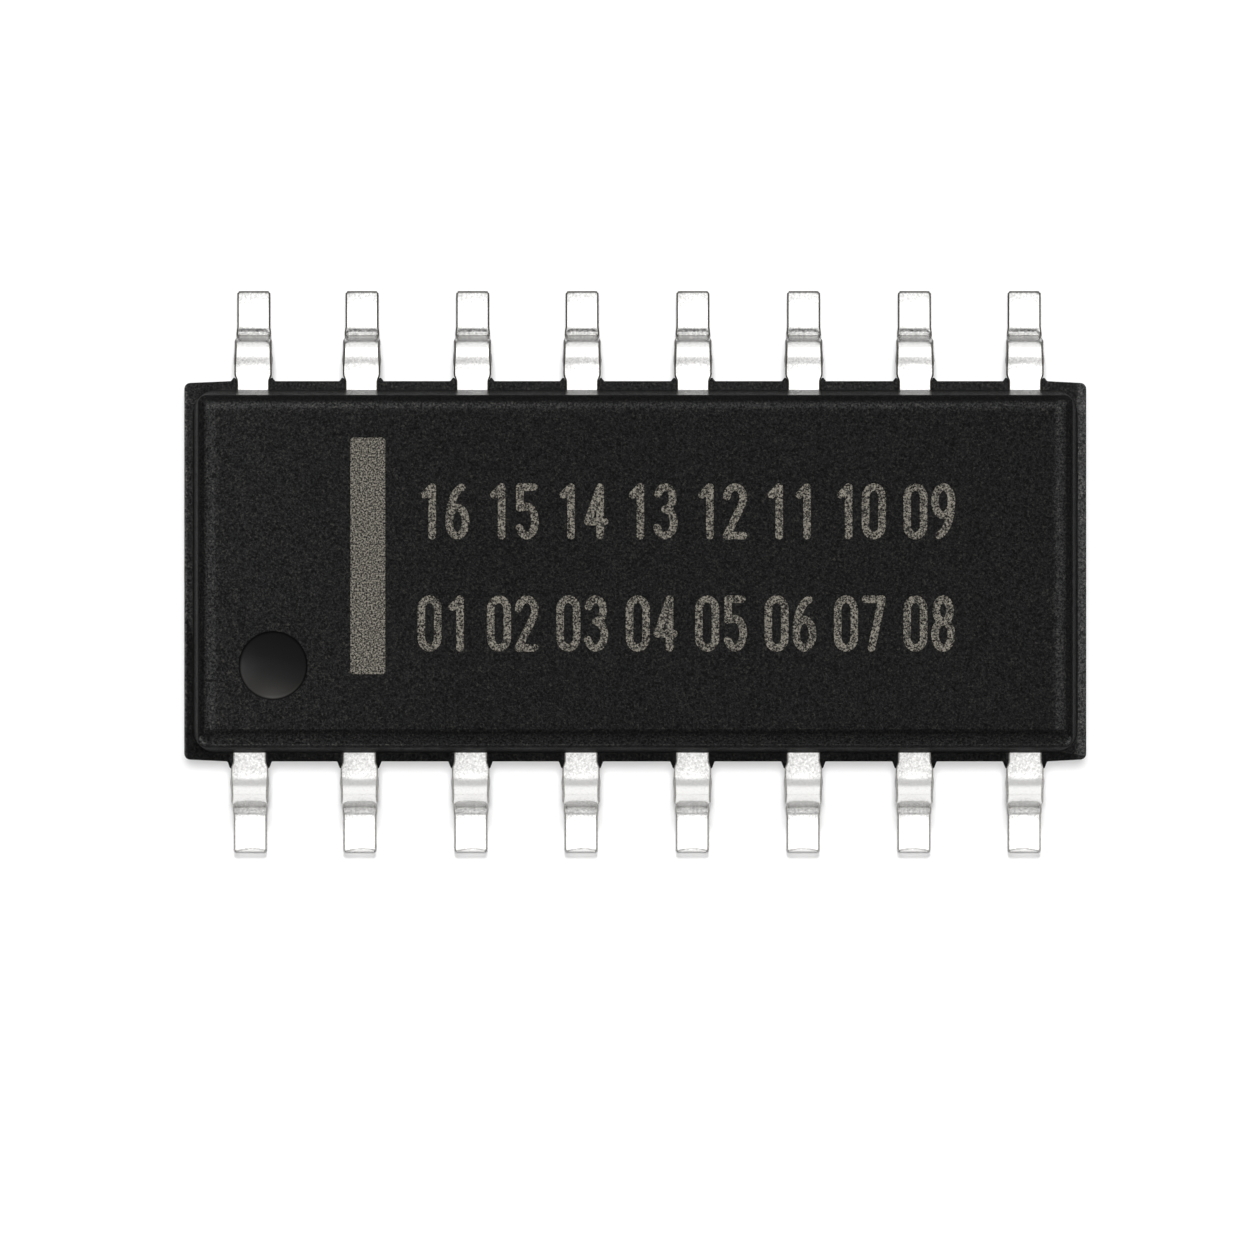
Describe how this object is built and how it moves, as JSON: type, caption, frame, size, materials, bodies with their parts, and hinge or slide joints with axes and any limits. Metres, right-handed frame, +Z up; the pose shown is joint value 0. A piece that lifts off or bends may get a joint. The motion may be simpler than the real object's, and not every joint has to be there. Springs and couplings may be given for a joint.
{
  "type": "small-outline integrated circuit",
  "caption": "Flat black moulded integrated circuit with gull-wing leads along both long sides, a pin-one dish, a marked bar and a bevelled edge.",
  "frame": {"origin": "on the board, under the middle of the package's outline, at the soles of the leads", "axes": "+X along the rows of leads, from pin 1 to pin 8; +Y across the rows, from pin 1 to pin 16; +Z up from the board to the marked face"},
  "size_m": [0.0104, 0.0064, 0.0016],
  "materials": {
    "mould_compound": "fine matt, black",
    "lead_plating": "satin tin plating",
    "paddle_copper": "bare copper alloy",
    "die_attach": "silver-filled adhesive",
    "silicon": "polished",
    "bond_wire": "bright drawn wire"
  },
  "bodies": {
    "root": {"package_body": "mould_compound", "lead_1": "lead_plating", "lead_2": "lead_plating", "lead_3": "lead_plating", "lead_4": "lead_plating", "lead_5": "lead_plating", "lead_6": "lead_plating", "lead_7": "lead_plating", "lead_8": "lead_plating", "lead_9": "lead_plating", "lead_10": "lead_plating", "lead_11": "lead_plating", "lead_12": "lead_plating", "lead_13": "lead_plating", "lead_14": "lead_plating", "lead_15": "lead_plating", "lead_16": "lead_plating", "die_paddle": "paddle_copper", "die_attach": "die_attach", "die": "silicon", "bond_wire_1": "bond_wire", "bond_wire_2": "bond_wire", "bond_wire_3": "bond_wire", "bond_wire_4": "bond_wire", "bond_wire_5": "bond_wire", "bond_wire_6": "bond_wire", "bond_wire_7": "bond_wire", "bond_wire_8": "bond_wire", "bond_wire_9": "bond_wire", "bond_wire_10": "bond_wire", "bond_wire_11": "bond_wire", "bond_wire_12": "bond_wire", "bond_wire_13": "bond_wire", "bond_wire_14": "bond_wire", "bond_wire_15": "bond_wire", "bond_wire_16": "bond_wire"}
  },
  "joints": []
}
